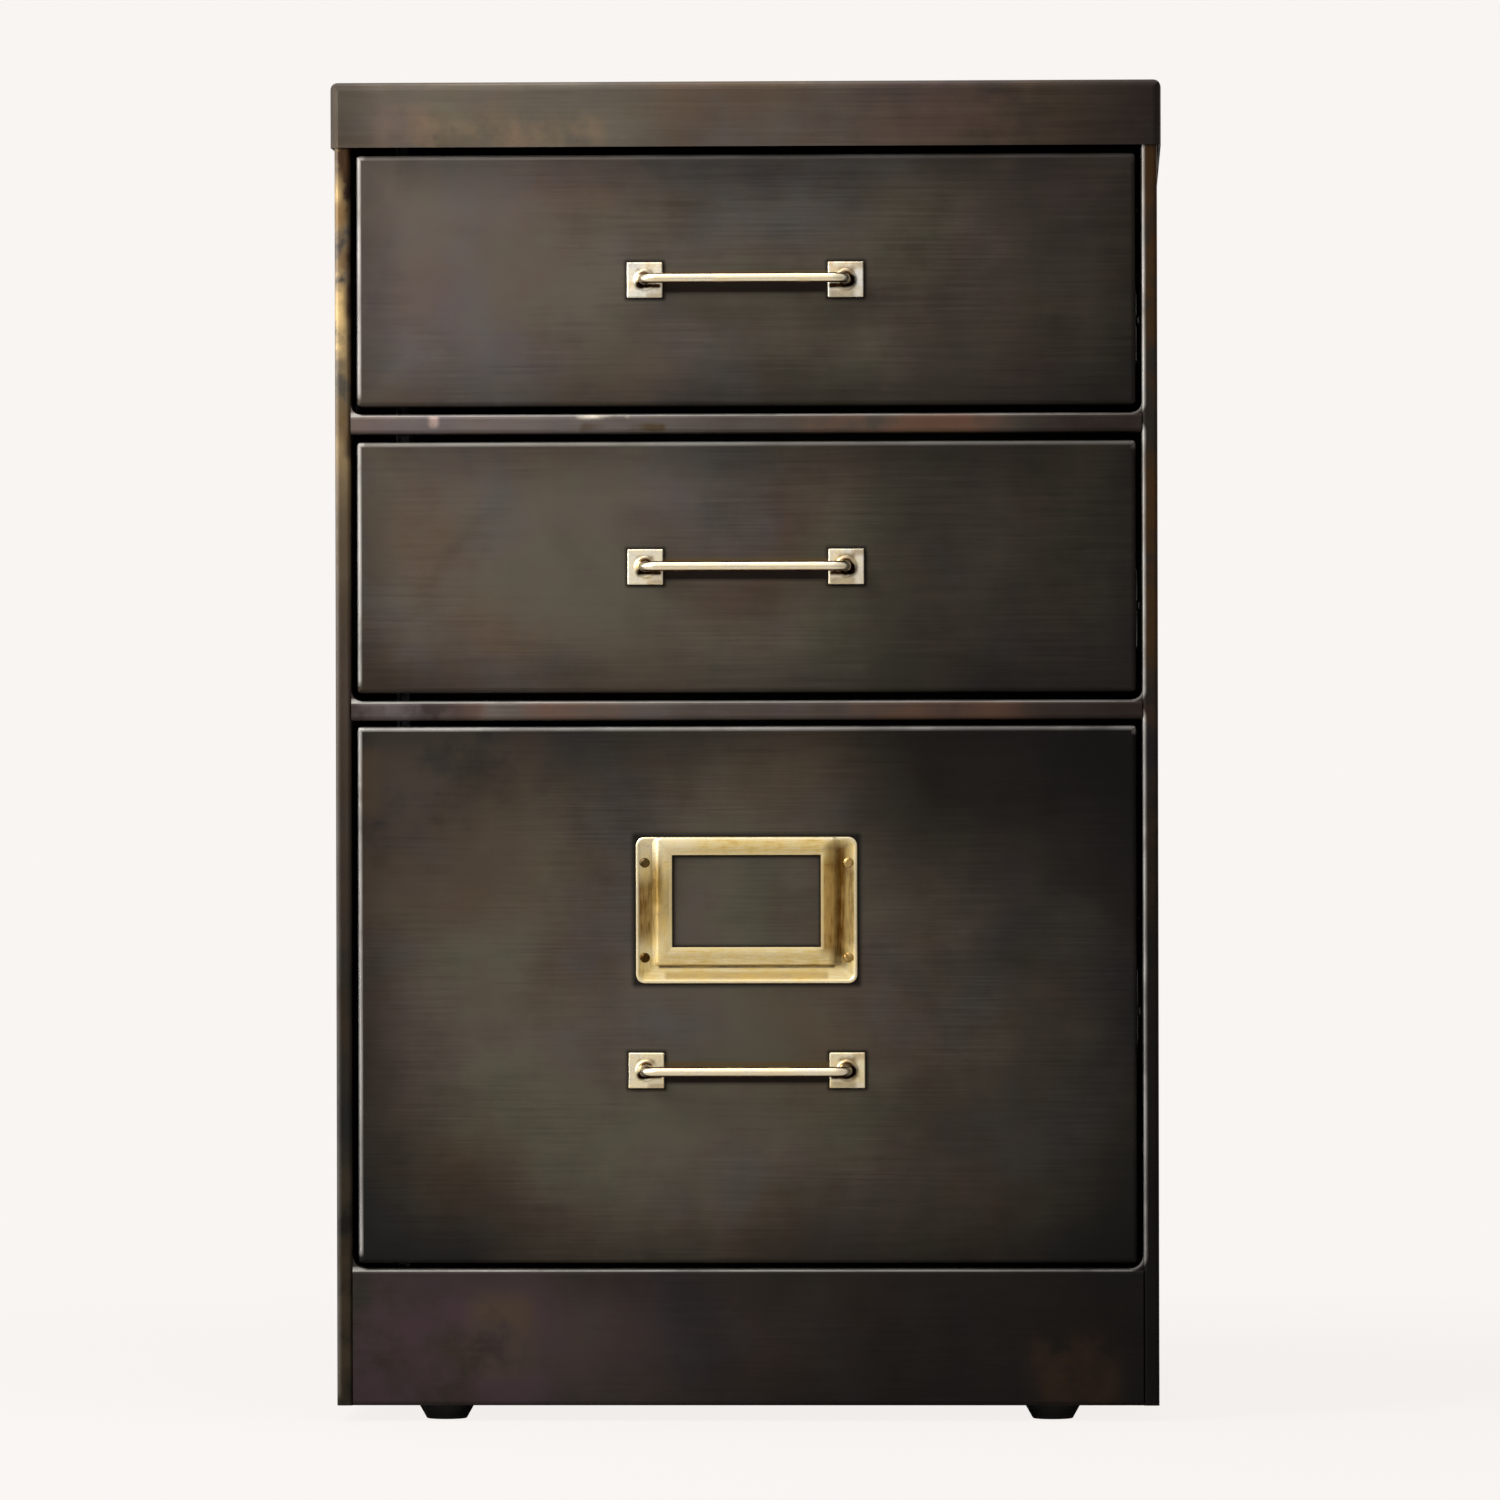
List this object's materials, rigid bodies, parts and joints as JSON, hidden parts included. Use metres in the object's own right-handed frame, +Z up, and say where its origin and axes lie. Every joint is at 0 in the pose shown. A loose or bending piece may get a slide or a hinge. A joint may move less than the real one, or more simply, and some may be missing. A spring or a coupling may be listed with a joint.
{
  "type": "drawer cabinet",
  "caption": "Upright sheet-steel pedestal cabinet with box drawers over a file drawer on telescopic ball slides, brass bar pulls and a label holder.",
  "frame": {"origin": "on the floor, under the middle of the overall width and depth, pulls included", "axes": "+Z up, -Y towards the front of the drawers, +X to the right of someone facing the front"},
  "size_m": [0.42, 0.527, 0.6775],
  "materials": {
    "patina_steel": "brushed steel with a dark brown-black patina, waxed",
    "dark_steel": "satin black-brown",
    "zinc_steel": "bright zinc plate",
    "ball_steel": "polished",
    "brass": "aged, hand-rubbed",
    "rubber": "matt moulded"
  },
  "bodies": {
    "cabinet": {"top_cap": "patina_steel", "side_panel_left": "patina_steel", "side_panel_right": "patina_steel", "back_panel": "patina_steel", "base_pan": "dark_steel", "plinth": "patina_steel", "divider_rail_upper": "patina_steel", "divider_rail_lower": "patina_steel", "header_rail": "dark_steel", "upright_front_left": "zinc_steel", "upright_front_right": "zinc_steel", "upright_rear_left": "zinc_steel", "upright_rear_right": "zinc_steel", "foot_front_left": "rubber", "foot_front_right": "rubber", "foot_rear_left": "rubber", "foot_rear_right": "rubber", "foot_screws": "zinc_steel", "back_panel_screws": "zinc_steel", "slide_screws": "zinc_steel", "slide_outer_upper": "zinc_steel", "slide_outer_centre": "zinc_steel", "slide_outer_file": "zinc_steel"},
    "drawer_upper": {"front_shell_upper": "patina_steel", "front_liner_upper": "dark_steel", "drawer_body_upper": "dark_steel", "drawer_back_upper": "dark_steel", "slide_inner_upper": "zinc_steel", "pull_bar_upper": "brass", "pull_posts_upper": "brass", "pull_screws_upper": "zinc_steel"},
    "runner_upper": {"slide_intermediate_upper": "zinc_steel"},
    "outer_cage_upper": {"cage_outer_upper": "ball_steel"},
    "inner_cage_upper": {"cage_inner_upper": "ball_steel"},
    "drawer_centre": {"front_shell_centre": "patina_steel", "front_liner_centre": "dark_steel", "drawer_body_centre": "dark_steel", "drawer_back_centre": "dark_steel", "slide_inner_centre": "zinc_steel", "pull_bar_centre": "brass", "pull_posts_centre": "brass", "pull_screws_centre": "zinc_steel"},
    "runner_centre": {"slide_intermediate_centre": "zinc_steel"},
    "outer_cage_centre": {"cage_outer_centre": "ball_steel"},
    "inner_cage_centre": {"cage_inner_centre": "ball_steel"},
    "drawer_file": {"front_shell_file": "patina_steel", "front_liner_file": "dark_steel", "drawer_body_file": "dark_steel", "drawer_back_file": "dark_steel", "slide_inner_file": "zinc_steel", "pull_bar_file": "brass", "pull_posts_file": "brass", "pull_screws_file": "zinc_steel", "label_holder": "brass", "label_screws": "brass", "hang_rail_left": "zinc_steel", "hang_rail_right": "zinc_steel"},
    "runner_file": {"slide_intermediate_file": "zinc_steel"},
    "outer_cage_file": {"cage_outer_file": "ball_steel"},
    "inner_cage_file": {"cage_inner_file": "ball_steel"}
  },
  "joints": [
    {"name": "drawer_slide_upper", "type": "slide", "parent": "cabinet", "child": "drawer_upper", "axis": [0, -1, 0], "range_m": [0, 0.43]},
    {"name": "runner_slide_upper", "type": "slide", "parent": "cabinet", "child": "runner_upper", "axis": [0, -1, 0], "range_m": [0, 0.215]},
    {"name": "outer_cage_slide_upper", "type": "slide", "parent": "cabinet", "child": "outer_cage_upper", "axis": [0, -1, 0], "range_m": [0, 0.1075]},
    {"name": "inner_cage_slide_upper", "type": "slide", "parent": "cabinet", "child": "inner_cage_upper", "axis": [0, -1, 0], "range_m": [0, 0.3225]},
    {"name": "drawer_slide_centre", "type": "slide", "parent": "cabinet", "child": "drawer_centre", "axis": [0, -1, 0], "range_m": [0, 0.43]},
    {"name": "runner_slide_centre", "type": "slide", "parent": "cabinet", "child": "runner_centre", "axis": [0, -1, 0], "range_m": [0, 0.215]},
    {"name": "outer_cage_slide_centre", "type": "slide", "parent": "cabinet", "child": "outer_cage_centre", "axis": [0, -1, 0], "range_m": [0, 0.1075]},
    {"name": "inner_cage_slide_centre", "type": "slide", "parent": "cabinet", "child": "inner_cage_centre", "axis": [0, -1, 0], "range_m": [0, 0.3225]},
    {"name": "drawer_slide_file", "type": "slide", "parent": "cabinet", "child": "drawer_file", "axis": [0, -1, 0], "range_m": [0, 0.43]},
    {"name": "runner_slide_file", "type": "slide", "parent": "cabinet", "child": "runner_file", "axis": [0, -1, 0], "range_m": [0, 0.215]},
    {"name": "outer_cage_slide_file", "type": "slide", "parent": "cabinet", "child": "outer_cage_file", "axis": [0, -1, 0], "range_m": [0, 0.1075]},
    {"name": "inner_cage_slide_file", "type": "slide", "parent": "cabinet", "child": "inner_cage_file", "axis": [0, -1, 0], "range_m": [0, 0.3225]}
  ],
  "couplings": [
    {"joint": "runner_slide_upper", "follows": "drawer_slide_upper", "ratio": 0.5},
    {"joint": "outer_cage_slide_upper", "follows": "drawer_slide_upper", "ratio": 0.25},
    {"joint": "inner_cage_slide_upper", "follows": "drawer_slide_upper", "ratio": 0.75},
    {"joint": "runner_slide_centre", "follows": "drawer_slide_centre", "ratio": 0.5},
    {"joint": "outer_cage_slide_centre", "follows": "drawer_slide_centre", "ratio": 0.25},
    {"joint": "inner_cage_slide_centre", "follows": "drawer_slide_centre", "ratio": 0.75},
    {"joint": "runner_slide_file", "follows": "drawer_slide_file", "ratio": 0.5},
    {"joint": "outer_cage_slide_file", "follows": "drawer_slide_file", "ratio": 0.25},
    {"joint": "inner_cage_slide_file", "follows": "drawer_slide_file", "ratio": 0.75}
  ]
}
